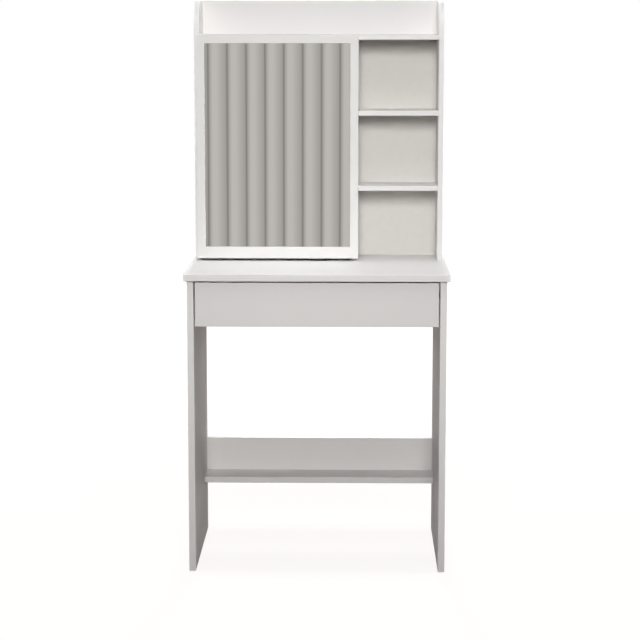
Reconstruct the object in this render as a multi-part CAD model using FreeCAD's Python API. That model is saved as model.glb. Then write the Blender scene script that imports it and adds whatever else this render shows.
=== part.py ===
import FreeCAD, Part
import os

# Dressing table in white laminated board: panel legs, one drawer on telescopic slides, a low rear
# shelf, and a shelved hutch whose left side is covered by a sliding mirror door.
# Millimetres. X runs to the right, Y to the rear and Z up. The origin is on the floor, in the
# middle of the table's width and depth.

# Table
table_width = 600.0
table_depth = 400.0
table_height = 690.0
table_board = 15.0
top_side_overhang = 7.5
top_front_overhang = 10.0
top_corner_radius = 6.0
edge_radius = 1.0
apron_height = 100.0
rail_height = 95.0
low_shelf_depth = 80.0
low_shelf_lift = 140.0

# Foot glides
glide_height = 3.0
glide_width = 11.0
glide_length = 32.0
glide_inset = 30.0

# Drawer
drawer_side_gap = 3.0
drawer_top_gap = 4.0
drawer_front_height = 100.0
drawer_board = 12.0
drawer_box_height = 78.0
drawer_box_lift = 9.0
drawer_rear_clearance = 30.0
drawer_bottom_thickness = 3.0
drawer_bottom_lift = 8.0
panel_groove_depth = 5.0
panel_play = 0.2

# Drawer slides
slide_height = 35.0
slide_thickness = 12.7
slide_metal = 1.2
slide_lip = 1.6
slide_ball_gap = 2.4
slide_web_gap = 1.2
slide_front_setback = 3.0
slide_rear_setback = 27.0
slide_lift = 35.0
slide_travel_loss = 20.0
cage_metal = 0.6
cage_margin = 10.0
cage_lip_gap = 0.4

# Hutch
hutch_depth = 125.0
hutch_board = 12.0
compartment_height = 165.0
shelf_levels = 2
shelf_setback = 1.0
gallery_height = 79.0
cheek_radius = 70.0
hutch_back_thickness = 3.0
hutch_back_inset = 8.0

# Mirror door
door_width = 380.0
door_thickness = 15.0
door_lift = 6.0
door_gap = 1.5
door_edge_inset = 5.5
stile_width = 19.0
top_rail_width = 20.0
bottom_rail_width = 27.0
front_lip = 5.0
glass_rebate = 5.0
glass_thickness = 4.0
glass_play = 0.5
backing_thickness = 3.0
divider_cover = 2.0

# Door running gear
channel_height = 9.0
channel_depth = 8.0
channel_wall = 1.0
channel_slot = 4.0
channel_top_margin = 3.5
channel_end_margin = 7.0
runner_length = 20.0
runner_clearance = 0.3
runner_peg_diameter = 5.0
runner_peg_length = 14.0
stop_length = 10.0
stop_clearance = 0.5
guide_groove_width = 4.0
guide_groove_depth = 9.0
guide_clearance = 0.5
guide_tip_clearance = 1.0
guide_fin_length = 24.0
guide_base_length = 36.0
guide_base_width = 12.0
guide_base_thickness = 2.5

# Joining fittings
cam_diameter = 15.0
cam_backset = 24.0
cam_floor = 2.5
cam_slot_width = 2.0
cam_slot_depth = 1.5
cam_pocket_gap = 0.5
bolt_diameter = 6.0
bolt_thread_length = 10.0
thick_dowel_diameter = 8.0
thin_dowel_diameter = 6.0
dowel_length = 20.0
dowel_end = 8.0
door_dowel_diameter = 5.0
fit_gap = 0.15
small_fitting_sides = 8
cam_sides = 16

# Places of the fittings, measured from the nearest edge
leg_cam_from_front = 40.0
leg_dowel_from_front = 110.0
hutch_cam_from_front = 20.0
hutch_cam_from_rear = 30.0
rail_cam_from_top = 28.0
rail_dowel_from_top = 68.0
shelf_cam_from_front = 50.0
shelf_dowel_from_front = 20.0
top_board_cam_from_rear = 45.0
top_board_dowel_from_front = 30.0
drawer_cam_from_top = 13.0
drawer_dowel_from_bottom = 24.0

# Worked out from the sizes above: table
half_width = table_width / 2
front_y = -table_depth / 2
rear_y = table_depth / 2
top_underside = table_height - table_board
leg_outer = half_width - top_side_overhang
leg_inner = leg_outer - table_board
leg_front = front_y + top_front_overhang
rail_front = rear_y - table_board
apron_bottom = top_underside - apron_height
rail_top = low_shelf_lift + rail_height
low_shelf_front = rail_front - low_shelf_depth
low_shelf_top = low_shelf_lift + table_board

# Drawer and slides
drawer_front_top = top_underside - drawer_top_gap
drawer_front_bottom = drawer_front_top - drawer_front_height
drawer_front_back = leg_front + table_board
drawer_front_half = leg_inner - drawer_side_gap
box_bottom = drawer_front_bottom + drawer_box_lift
box_top = box_bottom + drawer_box_height
box_outer = leg_inner - slide_thickness
box_inner = box_outer - drawer_board
box_rear = rail_front - drawer_rear_clearance
drawer_floor = box_bottom + drawer_bottom_lift
slide_z = box_bottom + slide_lift
slide_front = drawer_front_back + slide_front_setback
slide_length = box_rear - slide_rear_setback - slide_front
slide_travel = slide_length - slide_travel_loss

# Hutch
hutch_outer = leg_outer
hutch_inner = hutch_outer - hutch_board
hutch_front = rear_y - hutch_depth
top_board_bottom = table_height + (shelf_levels + 1) * compartment_height + shelf_levels * hutch_board
top_board_top = top_board_bottom + hutch_board
hutch_top = top_board_top + gallery_height
back_rear = rear_y - hutch_back_inset
back_front = back_rear - hutch_back_thickness
shelf_front = hutch_front + shelf_setback
shelf_rear = back_front - panel_play
shelf_bottoms = [
    table_height + (level + 1) * compartment_height + level * hutch_board for level in range(shelf_levels)
]
shelf_middle_y = (shelf_front + shelf_rear) / 2
hutch_cam_ys = [hutch_front + hutch_cam_from_front, rear_y - hutch_cam_from_rear]

# Mirror door and its running gear
door_back = hutch_front - door_gap
door_front = door_back - door_thickness
door_left = -hutch_outer + door_edge_inset
door_right = door_left + door_width
door_bottom = table_height + door_lift
door_top = top_board_top
opening_left = door_left + stile_width
opening_right = door_right - stile_width
opening_bottom = door_bottom + bottom_rail_width
opening_top = door_top - top_rail_width
glass_front = door_front + front_lip
glass_back = glass_front + glass_thickness
door_travel = (hutch_outer - door_edge_inset) - door_right
divider_right = door_right - divider_cover
divider_left = divider_right - hutch_board
channel_top = door_top - channel_top_margin
channel_bottom = channel_top - channel_height
channel_z = (channel_top + channel_bottom) / 2
channel_front = door_back - channel_depth
channel_left = door_left + channel_end_margin
channel_right = door_right - channel_end_margin
runner_offset = stop_length + stop_clearance + runner_length / 2
runner_xs = [channel_left + door_travel + runner_offset, channel_right - runner_offset]
guide_x = (runner_xs[0] + runner_xs[1]) / 2
guide_y = (door_front + door_back) / 2

vector = FreeCAD.Vector
to_right = vector(1, 0, 0)
to_left = vector(-1, 0, 0)
to_rear = vector(0, 1, 0)
to_front = vector(0, -1, 0)
up = vector(0, 0, 1)
down = vector(0, 0, -1)
same_place = 1e-6


def block(x0, x1, y0, y1, z0, z1):
    """A box between two opposite corners."""
    return Part.makeBox(x1 - x0, y1 - y0, z1 - z0, vector(x0, y0, z0))


def rod(start, direction, diameter, length):
    """A cylinder from a point along a direction."""
    return Part.makeCylinder(diameter / 2, length, start, direction)


def peg(start, direction, diameter, length, sides):
    """A many-sided rod, for the small fittings that repeat out of sight."""
    spoke = vector(direction.y, direction.z, direction.x) * (diameter / 2)
    turn = FreeCAD.Rotation(direction, 360.0 / sides)
    corners = [start + spoke]
    for _ in range(sides - 1):
        spoke = turn.multVec(spoke)
        corners.append(start + spoke)
    return prism(corners, direction * length)


def edges_on(shape, axis, value, along=""):
    """The edges that lie in the plane axis = value, all of them or only those along one axis."""
    found = []
    for edge in shape.Edges:
        box = edge.BoundBox
        spread = {"X": box.XLength, "Y": box.YLength, "Z": box.ZLength}
        low = {"X": box.XMin, "Y": box.YMin, "Z": box.ZMin}
        in_plane = spread[axis] < same_place and abs(low[axis] - value) < same_place
        across = [size for name, size in spread.items() if name != along]
        if in_plane and (not along or max(across) < same_place):
            found.append(edge)
    return found


def band(board, axis, value, along):
    """A board whose edges along one axis in the plane axis = value are rounded like edge banding."""
    return board.makeFillet(edge_radius, edges_on(board, axis, value, along))


def prism(points, extent):
    """A closed profile of points, extruded by a vector."""
    return Part.Face(Part.makePolygon(points + points[:1])).extrude(extent)


def beam(start, end, normal, half_thickness, half_width):
    """A bar from start to end with a rectangular section, thick along the normal."""
    side = (end - start).normalize().cross(normal)
    corners = []
    for across, over in ((-1, -1), (1, -1), (1, 1), (-1, 1)):
        corners.append(start + side * (across * half_width) + normal * (over * half_thickness))
    return prism(corners, end - start)


class Fittings:
    """The cams, bolts and dowels that join the boards of one body, and the holes that they sit in."""

    def __init__(self):
        self.cams = []
        self.bolts = []
        self.dowels = []
        self.holes = []

    def add_cam(self, joint, into, face, board):
        """A bolt screwed into one board at the joint, drawn tight by a cam in the next board.

        The joint is a point between the two boards, in the middle of the next board's thickness.
        The bolt runs along into, and the cam sits in the face of the next board that looks along face.
        """
        centre = joint + into * cam_backset
        mouth = centre + face * (board / 2)
        depth = board - cam_floor
        bolt_start = joint - into * bolt_thread_length
        bolt_length = bolt_thread_length + cam_backset
        half_pocket = bolt_diameter / 2 + cam_pocket_gap
        pocket = beam(joint, centre + into * half_pocket, face, half_pocket, half_pocket)
        half_slot = cam_slot_width / 2
        rim = into * (cam_diameter / 2)
        slot = beam(mouth - rim, mouth + rim, face, cam_slot_depth, half_slot)
        self.cams.append(peg(mouth, -face, cam_diameter, depth, cam_sides).cut([pocket, slot]))
        self.bolts.append(peg(bolt_start, into, bolt_diameter, bolt_length, small_fitting_sides))
        self.holes.append(peg(mouth, -face, cam_diameter + 2 * fit_gap, depth + fit_gap, cam_sides))
        hole_start = bolt_start - into * fit_gap
        hole_diameter = bolt_diameter + 2 * fit_gap
        self.holes.append(peg(hole_start, into, hole_diameter, bolt_length, small_fitting_sides))

    def add_dowel(self, joint, into, diameter, behind, ahead):
        """A dowel across a joint, with one length behind it and one length ahead of it."""
        length = behind + ahead
        self.dowels.append(peg(joint - into * behind, into, diameter, length, small_fitting_sides))
        start = joint - into * (behind + fit_gap)
        hole_length = length + 2 * fit_gap
        self.holes.append(peg(start, into, diameter + 2 * fit_gap, hole_length, small_fitting_sides))

    def drill(self, board):
        """The board with every hole that reaches into it."""
        reaching = [hole for hole in self.holes if hole.BoundBox.intersect(board.BoundBox)]
        if not reaching:
            return board
        return board.cut(reaching).Solids[0]


def make_tabletop():
    """The tabletop, with rounded front corners and banded edges on its three open sides."""
    top = block(-half_width, half_width, front_y, rear_y, top_underside, table_height)
    corners = edges_on(top, "Y", front_y, "Z")
    top = top.makeFillet(top_corner_radius, corners)
    rims = []
    for level in (table_height, top_underside):
        for edge in edges_on(top, "Z", level):
            if edge.BoundBox.YMin < rear_y - same_place:
                rims.append(edge)
    return top.makeFillet(edge_radius, rims)


def make_legs():
    """The two leg panels."""
    right = block(leg_inner, leg_outer, leg_front, rear_y, glide_height, top_underside)
    right = band(right, "Y", leg_front, "Z")
    left = right.mirror(vector(), to_right)
    return {"left_leg_panel": left, "right_leg_panel": right}


def make_rails():
    """The apron behind the drawer, the low rear rail and the low shelf in front of it."""
    apron = block(-leg_inner, leg_inner, rail_front, rear_y, apron_bottom, top_underside)
    rail = block(-leg_inner, leg_inner, rail_front, rear_y, low_shelf_lift, rail_top)
    shelf = block(-leg_inner, leg_inner, low_shelf_front, rail_front, low_shelf_lift, low_shelf_top)
    return {
        "rear_apron": band(apron, "Z", apron_bottom, "X"),
        "lower_back_rail": band(rail, "Z", rail_top, "X"),
        "lower_shelf": band(shelf, "Y", low_shelf_front, "X"),
    }


def make_glides():
    """Four stick-on foot glides with rounded ends, in the middle of the leg panels' lower edges."""
    glides = []
    leg_x = (leg_outer + leg_inner) / 2
    straight = (glide_length - glide_width) / 2
    for x in (-leg_x, leg_x):
        for y in (leg_front + glide_inset, rear_y - glide_inset):
            pad = block(x - glide_width / 2, x + glide_width / 2, y - straight, y + straight, 0, glide_height)
            ends = []
            for end_y in (y - straight, y + straight):
                ends.append(rod(vector(x, end_y, 0), up, glide_width, glide_height))
            glides.append(pad.fuse(ends).removeSplitter())
    return Part.makeCompound(glides)


def make_hutch_sides():
    """The hutch's side panels, with a rounded cheek beside the gallery and a groove for the back."""
    foot = vector(hutch_inner, hutch_front, table_height)
    rear_foot = vector(hutch_inner, rear_y, table_height)
    rear_top = vector(hutch_inner, rear_y, hutch_top)
    arc_top = vector(hutch_inner, hutch_front + cheek_radius, hutch_top)
    arc_front = vector(hutch_inner, hutch_front, hutch_top - cheek_radius)
    arc_centre = vector(hutch_inner, hutch_front + cheek_radius, hutch_top - cheek_radius)
    bend = (to_front + up).normalize() * cheek_radius
    outline = [
        Part.LineSegment(foot, rear_foot).toShape(),
        Part.LineSegment(rear_foot, rear_top).toShape(),
        Part.LineSegment(rear_top, arc_top).toShape(),
        Part.Arc(arc_top, arc_centre + bend, arc_front).toShape(),
        Part.LineSegment(arc_front, foot).toShape(),
    ]
    right = Part.Face(Part.Wire(outline)).extrude(to_right * hutch_board)
    rims = []
    for plane in (hutch_inner, hutch_outer):
        for edge in edges_on(right, "X", plane):
            box = edge.BoundBox
            if box.YMin < rear_y - same_place and box.ZMax > table_height + same_place:
                rims.append(edge)
    right = right.makeFillet(edge_radius, rims)
    left = right.mirror(vector(), to_right)
    groove = make_back_panel(panel_play)
    return {"hutch_left_side": left.cut(groove), "hutch_right_side": right.cut(groove)}


def make_back_panel(play):
    """The hutch's thin back, larger all round by the play when it stands for the groove."""
    half = hutch_inner + panel_groove_depth - panel_play + play
    top = top_board_bottom + panel_groove_depth - panel_play + play
    return block(-half, half, back_front - play, back_rear + play, table_height, top)


def make_hutch_boards():
    """The hutch's top board, divider, shelves and gallery."""
    top = block(-hutch_inner, hutch_inner, hutch_front, rear_y, top_board_bottom, top_board_top)
    top = band(top, "Y", hutch_front, "X").cut(make_back_panel(panel_play))
    divider = block(divider_left, divider_right, shelf_front, shelf_rear, table_height, top_board_bottom)
    gallery = block(-hutch_inner, hutch_inner, rear_y - hutch_board, rear_y, top_board_top, hutch_top)
    boards = {
        "hutch_top_board": top,
        "hutch_divider": band(divider, "Y", shelf_front, "Z"),
        "gallery_rail": band(gallery, "Z", hutch_top, "X"),
        "hutch_back_panel": make_back_panel(0),
    }
    bays = {"left": (-hutch_inner, divider_left), "right": (divider_right, hutch_inner)}
    levels = ["lower", "upper"] + ["top_%d" % extra for extra in range(2, shelf_levels)]
    for side, (x0, x1) in bays.items():
        for level, z in zip(levels, shelf_bottoms):
            shelf = block(x0, x1, shelf_front, shelf_rear, z, z + hutch_board)
            boards["%s_%s_shelf" % (side, level)] = band(shelf, "Y", shelf_front, "X")
    return boards


def make_table_fittings():
    """The fittings of the fixed boards: table, rails and hutch."""
    fittings = Fittings()
    leg_x = (leg_outer + leg_inner) / 2
    hutch_x = (hutch_outer + hutch_inner) / 2
    rail_y = (rail_front + rear_y) / 2
    gallery_y = rear_y - hutch_board / 2
    gallery_z = (top_board_top + hutch_top) / 2
    shelf_z = low_shelf_lift + table_board / 2
    top_board_z = (top_board_bottom + top_board_top) / 2
    for sign, inward in ((-1, to_right), (1, to_left)):
        for y in (leg_front + leg_cam_from_front, sum(hutch_cam_ys) / 2):
            fittings.add_cam(vector(sign * leg_x, y, top_underside), down, inward, table_board)
        leg_dowel = vector(sign * leg_x, leg_front + leg_dowel_from_front, top_underside)
        fittings.add_dowel(leg_dowel, down, thick_dowel_diameter, bolt_thread_length, dowel_length)
        for y in hutch_cam_ys:
            fittings.add_cam(vector(sign * hutch_x, y, table_height), up, inward, hutch_board)
        for top in (top_underside, rail_top):
            joint = vector(sign * leg_inner, rail_y, top)
            fittings.add_cam(joint + down * rail_cam_from_top, inward, to_rear, table_board)
            dowel = joint + down * rail_dowel_from_top
            fittings.add_dowel(dowel, inward, thick_dowel_diameter, bolt_thread_length, dowel_length)
        joint = vector(sign * leg_inner, low_shelf_front, shelf_z)
        fittings.add_cam(joint + to_rear * shelf_cam_from_front, inward, down, table_board)
        dowel = joint + to_rear * shelf_dowel_from_front
        fittings.add_dowel(dowel, inward, thick_dowel_diameter, bolt_thread_length, dowel_length)
        joint = vector(sign * hutch_inner, rear_y - top_board_cam_from_rear, top_board_z)
        fittings.add_cam(joint, inward, down, hutch_board)
        dowel = vector(sign * hutch_inner, hutch_front + top_board_dowel_from_front, top_board_z)
        fittings.add_dowel(dowel, inward, thin_dowel_diameter, dowel_end, dowel_length)
        gallery = vector(sign * hutch_inner, gallery_y, gallery_z)
        fittings.add_dowel(gallery, inward, thin_dowel_diameter, dowel_end, dowel_length)
        for z in shelf_bottoms:
            shelf_end = vector(sign * hutch_inner, shelf_middle_y, z + hutch_board / 2)
            fittings.add_dowel(shelf_end, inward, thin_dowel_diameter, dowel_end, dowel_length)
    divider_x = (divider_left + divider_right) / 2
    for z in shelf_bottoms:
        through = vector(divider_left, shelf_middle_y, z + hutch_board / 2)
        fittings.add_dowel(through, to_right, thin_dowel_diameter, dowel_length, hutch_board + dowel_length)
    divider_foot = vector(divider_x, shelf_middle_y, table_height)
    fittings.add_dowel(divider_foot, up, thin_dowel_diameter, bolt_thread_length, dowel_length)
    divider_head = vector(divider_x, shelf_middle_y, top_board_bottom)
    fittings.add_dowel(divider_head, down, thin_dowel_diameter, dowel_end, dowel_length)
    return fittings


def make_drawer_fittings():
    """The fittings that hold the drawer's sides to its front and back."""
    fittings = Fittings()
    side_x = box_outer - drawer_board / 2
    for sign, outward in ((-1, to_left), (1, to_right)):
        joint = vector(sign * side_x, drawer_front_back, 0)
        cam_joint = joint + up * (box_top - drawer_cam_from_top)
        fittings.add_cam(cam_joint, to_rear, outward, drawer_board)
        dowel = joint + up * (box_bottom + drawer_dowel_from_bottom)
        fittings.add_dowel(dowel, to_rear, thin_dowel_diameter, bolt_thread_length, dowel_length)
        back = vector(sign * box_inner, box_rear - drawer_board / 2, (box_bottom + box_top) / 2)
        fittings.add_dowel(back, outward, thin_dowel_diameter, dowel_length, dowel_end)
    return fittings


def make_drawer():
    """The drawer's front, sides, back and thin bottom."""
    half = drawer_front_half
    front = block(-half, half, leg_front, drawer_front_back, drawer_front_bottom, drawer_front_top)
    front = front.makeFillet(edge_radius, edges_on(front, "Y", leg_front))
    groove = make_drawer_bottom(panel_play)
    right = block(box_inner, box_outer, drawer_front_back, box_rear, box_bottom, box_top)
    right = band(right, "Z", box_top, "Y")
    left = right.mirror(vector(), to_right)
    back_bottom = drawer_floor + drawer_bottom_thickness
    back = block(-box_inner, box_inner, box_rear - drawer_board, box_rear, back_bottom, box_top)
    back = band(back, "Z", box_top, "X")
    return {
        "drawer_front": front.cut(groove),
        "drawer_left_side": left.cut(groove),
        "drawer_right_side": right.cut(groove),
        "drawer_back": back,
        "drawer_bottom": make_drawer_bottom(0),
    }


def make_drawer_bottom(play):
    """The drawer's bottom, larger by the play when it stands for the grooves that hold it."""
    half = box_inner + panel_groove_depth - panel_play + play
    front = drawer_front_back - panel_groove_depth + panel_play - play
    top = drawer_floor + drawer_bottom_thickness
    return block(-half, half, front, box_rear, drawer_floor - play, top + play)


def slide_member(web, mouth, half_height, lip):
    """One rolled slide member: a web, two flanges and a lip along each flange's free edge.

    The profile runs from the web's outer face to the flanges' mouth, measured from the leg's inner face.
    """
    outward = 1 if mouth > web else -1
    metal = outward * slide_metal
    inside = half_height - slide_metal
    upper = [(web, half_height), (mouth, half_height)]
    if lip:
        upper += [(mouth, inside - lip), (mouth - metal, inside - lip), (mouth - metal, inside)]
    else:
        upper += [(mouth, inside)]
    upper += [(web + metal, inside)]
    outline = upper + [(u, -z) for u, z in reversed(upper)]
    points = [vector(leg_inner - u, slide_front, slide_z + z) for u, z in outline]
    return prism(points, to_rear * slide_length)


def ball_cage(web, mouth, half_height):
    """One ball cage: a thin web and the two strips of balls that carry the next member."""
    inside = half_height - slide_ball_gap
    upper = [(web, half_height), (mouth, half_height), (mouth, inside), (web + cage_metal, inside)]
    outline = upper + [(u, -z) for u, z in reversed(upper)]
    cage_front = slide_front + cage_margin + slide_travel / 4
    cage_length = slide_length - slide_travel / 2 - 2 * cage_margin
    points = [vector(leg_inner - u, cage_front, slide_z + z) for u, z in outline]
    return prism(points, to_rear * cage_length)


def make_slides():
    """Both telescopic slides: the outer, middle and inner members and the ball cages between them."""
    outer_half = slide_height / 2
    middle_half = outer_half - slide_metal - slide_ball_gap
    inner_half = middle_half - slide_metal - slide_ball_gap
    middle_web = slide_metal + slide_web_gap
    inner_mouth = middle_web + slide_metal + slide_web_gap
    middle_mouth = slide_thickness - slide_metal - slide_web_gap
    outer_mouth = middle_mouth - slide_metal
    cage_gap = (slide_web_gap - cage_metal) / 2
    outer_cage_web = slide_metal + cage_gap
    inner_cage_web = middle_web + slide_metal + cage_gap
    cage_setback = slide_metal + cage_lip_gap
    members = {
        "slide_outer": slide_member(0, outer_mouth, outer_half, slide_lip),
        "slide_middle": slide_member(middle_web, middle_mouth, middle_half, slide_lip),
        "slide_inner": slide_member(slide_thickness, inner_mouth, inner_half, 0),
        "outer_ball_cage": ball_cage(outer_cage_web, outer_mouth - cage_setback, outer_half - slide_metal),
        "inner_ball_cage": ball_cage(inner_cage_web, middle_mouth - cage_setback, middle_half - slide_metal),
    }
    slides = {}
    for name, member in members.items():
        slides["right_%s" % name] = member
        slides["left_%s" % name] = member.mirror(vector(), to_right)
    return slides


def make_door_fittings():
    """The dowels between the door's rails and stiles."""
    fittings = Fittings()
    top_y = (door_front + channel_front) / 2
    top_z = (door_top + opening_top) / 2
    low_z = (door_bottom + guide_groove_depth + opening_bottom - glass_rebate) / 2
    for x, inward in ((opening_left, to_right), (opening_right, to_left)):
        for y, z in ((top_y, top_z), (guide_y, low_z)):
            fittings.add_dowel(vector(x, y, z), inward, door_dowel_diameter, dowel_end, dowel_length)
    return fittings


def make_door_frame():
    """The door's stiles and rails, rebated for the glass and grooved for the channel and the guide."""
    frame = block(door_left, door_right, door_front, door_back, door_bottom, door_top)
    frame = frame.cut(block(opening_left, opening_right, door_front, door_back, opening_bottom, opening_top))
    frame = frame.makeFillet(edge_radius, edges_on(frame, "Y", door_front))
    rebate = block(
        opening_left - glass_rebate,
        opening_right + glass_rebate,
        glass_front,
        door_back,
        opening_bottom - glass_rebate,
        opening_top + glass_rebate,
    )
    channel_groove = block(channel_left, channel_right, channel_front, door_back, channel_bottom, channel_top)
    guide_front = guide_y - guide_groove_width / 2
    guide_back = guide_y + guide_groove_width / 2
    guide_top = door_bottom + guide_groove_depth
    guide_groove = block(door_left, door_right, guide_front, guide_back, door_bottom, guide_top)
    frame = frame.cut([rebate, channel_groove, guide_groove])
    middle_z = (opening_bottom + opening_top) / 2
    regions = {
        "door_left_stile": (door_left, opening_left, door_bottom, door_top),
        "door_right_stile": (opening_right, door_right, door_bottom, door_top),
        "door_top_rail": (opening_left, opening_right, middle_z, door_top),
        "door_bottom_rail": (opening_left, opening_right, door_bottom, middle_z),
    }
    members = {}
    for name, (x0, x1, z0, z1) in regions.items():
        members[name] = frame.common(block(x0, x1, door_front, door_back, z0, z1)).Solids[0]
    return members


def make_door_panes():
    """The mirror glass and its backing, with play all round in the frame's rebate."""
    x0 = opening_left - glass_rebate + glass_play
    x1 = opening_right + glass_rebate - glass_play
    z0 = opening_bottom - glass_rebate
    z1 = opening_top + glass_rebate - glass_play
    return {
        "mirror_glass": block(x0, x1, glass_front, glass_back, z0, z1),
        "door_backing": block(x0, x1, glass_back, glass_back + backing_thickness, z0, z1),
    }


def make_door_channel():
    """The slotted channel in the door's back and the two stops that close its ends."""
    hollow_front = channel_front + channel_wall
    hollow_back = door_back - channel_wall
    hollow_bottom = channel_bottom + channel_wall
    hollow_top = channel_top - channel_wall
    channel = block(channel_left, channel_right, channel_front, door_back, channel_bottom, channel_top)
    channel = channel.cut(
        block(channel_left, channel_right, hollow_front, hollow_back, hollow_bottom, hollow_top)
    )
    half_slot = channel_slot / 2
    slot = block(
        channel_left, channel_right, hollow_back, door_back, channel_z - half_slot, channel_z + half_slot
    )
    stops = []
    for x in (channel_left, channel_right - stop_length):
        stops.append(block(x, x + stop_length, hollow_front, hollow_back, hollow_bottom, hollow_top))
    return {"door_channel": channel.cut(slot), "channel_stops": Part.makeCompound(stops)}


def make_door_runners():
    """The T-shaped runners that carry the door's channel, pegged into the top board's front edge."""
    runners = []
    holes = []
    play = runner_clearance
    head_front = channel_front + channel_wall + play
    head_back = door_back - channel_wall - play
    head_half = channel_height / 2 - channel_wall - play
    neck_half = channel_slot / 2 - play
    for x in runner_xs:
        x0 = x - runner_length / 2
        x1 = x + runner_length / 2
        head = block(x0, x1, head_front, head_back, channel_z - head_half, channel_z + head_half)
        neck = block(x0, x1, head_back, hutch_front, channel_z - neck_half, channel_z + neck_half)
        peg_start = vector(x, hutch_front, (top_board_bottom + top_board_top) / 2)
        pin = peg(peg_start, to_rear, runner_peg_diameter, runner_peg_length, small_fitting_sides)
        plate_top = top_board_top - edge_radius
        plate = block(x0, x1, door_back + play, hutch_front, channel_z - neck_half, plate_top)
        runners.append(head.fuse([neck, plate, pin]).removeSplitter())
        hole_diameter = runner_peg_diameter + 2 * fit_gap
        holes.append(peg(peg_start, to_rear, hole_diameter, runner_peg_length + fit_gap, small_fitting_sides))
    return runners, holes


def make_door_guide():
    """The floor guide: a base on the tabletop and a fin that stands in the door's lower groove."""
    fin_half = guide_groove_width / 2 - guide_clearance
    base_half = guide_base_width / 2
    base_top = table_height + guide_base_thickness
    fin_top = door_bottom + guide_groove_depth - guide_tip_clearance
    base = block(
        guide_x - guide_base_length / 2,
        guide_x + guide_base_length / 2,
        guide_y - base_half,
        guide_y + base_half,
        table_height,
        base_top,
    )
    fin = block(
        guide_x - guide_fin_length / 2,
        guide_x + guide_fin_length / 2,
        guide_y - fin_half,
        guide_y + fin_half,
        base_top,
        fin_top,
    )
    return base.fuse(fin).removeSplitter()


def build():
    """Every node of the dressing table, by name."""
    table = make_table_fittings()
    runners, runner_holes = make_door_runners()
    table.holes += runner_holes
    boards = {"tabletop": make_tabletop()}
    for group in (make_legs(), make_rails(), make_hutch_sides(), make_hutch_boards()):
        boards.update(group)
    nodes = {name: table.drill(board) for name, board in boards.items()}
    nodes["foot_glides"] = make_glides()
    nodes["door_runners"] = Part.makeCompound(runners)
    nodes["door_floor_guide"] = make_door_guide()
    nodes["cam_locks"] = Part.makeCompound(table.cams)
    nodes["cam_bolts"] = Part.makeCompound(table.bolts)
    nodes["wood_dowels"] = Part.makeCompound(table.dowels)

    drawer = make_drawer_fittings()
    nodes.update({name: drawer.drill(board) for name, board in make_drawer().items()})
    nodes["drawer_cam_locks"] = Part.makeCompound(drawer.cams)
    nodes["drawer_cam_bolts"] = Part.makeCompound(drawer.bolts)
    nodes["drawer_dowels"] = Part.makeCompound(drawer.dowels)
    nodes.update(make_slides())

    door = make_door_fittings()
    nodes.update({name: door.drill(member) for name, member in make_door_frame().items()})
    nodes["door_dowels"] = Part.makeCompound(door.dowels)
    nodes.update(make_door_panes())
    nodes.update(make_door_channel())
    return nodes


os.makedirs("parts", exist_ok=True)
for node, shape in build().items():
    shape.exportStep("parts/%s.step" % node)
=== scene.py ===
"""Looks of the dressing table: finishes, eased boards, small fittings, studio light and camera.

Metres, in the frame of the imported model: X to the right, Y to the rear and Z up.
"""

import logging
import math
from dataclasses import dataclass, field, replace
from enum import Enum
from typing import Iterable, Iterator, Sequence

import bmesh
import bpy
from mathutils import Matrix, Vector


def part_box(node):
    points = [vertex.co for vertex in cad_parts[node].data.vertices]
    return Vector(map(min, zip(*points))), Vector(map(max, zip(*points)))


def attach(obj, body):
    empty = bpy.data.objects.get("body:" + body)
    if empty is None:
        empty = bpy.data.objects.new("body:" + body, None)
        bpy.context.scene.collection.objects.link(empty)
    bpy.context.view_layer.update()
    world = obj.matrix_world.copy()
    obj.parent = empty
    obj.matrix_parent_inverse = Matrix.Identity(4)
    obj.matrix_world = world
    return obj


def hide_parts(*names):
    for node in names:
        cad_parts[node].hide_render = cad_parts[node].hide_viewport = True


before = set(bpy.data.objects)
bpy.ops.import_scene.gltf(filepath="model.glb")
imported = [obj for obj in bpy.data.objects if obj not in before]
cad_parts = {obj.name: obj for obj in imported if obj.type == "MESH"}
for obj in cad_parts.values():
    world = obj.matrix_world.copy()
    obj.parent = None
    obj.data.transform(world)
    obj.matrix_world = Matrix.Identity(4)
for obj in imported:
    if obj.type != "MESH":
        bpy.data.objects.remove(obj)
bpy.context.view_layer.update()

LOG = logging.getLogger("dressing_table")
Point = tuple[float, float, float]
Colour = tuple[float, float, float]


class Body(str, Enum):
    """The moving bodies of the table."""

    TABLE = "table"
    DOOR = "mirror_door"
    DRAWER = "drawer"


class Axis(Enum):
    """A coordinate axis, by its place in a point."""

    X = 0
    Y = 1
    Z = 2


def linear(red: int, green: int, blue: int) -> Colour:
    """A display colour of 0 to 255 as linear light."""
    return tuple(_channel(value / 255.0) for value in (red, green, blue))


def _channel(value: float) -> float:
    """One display channel of 0 to 1 as linear light."""
    return value / 12.92 if value <= 0.04045 else ((value + 0.055) / 1.055) ** 2.4


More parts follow.
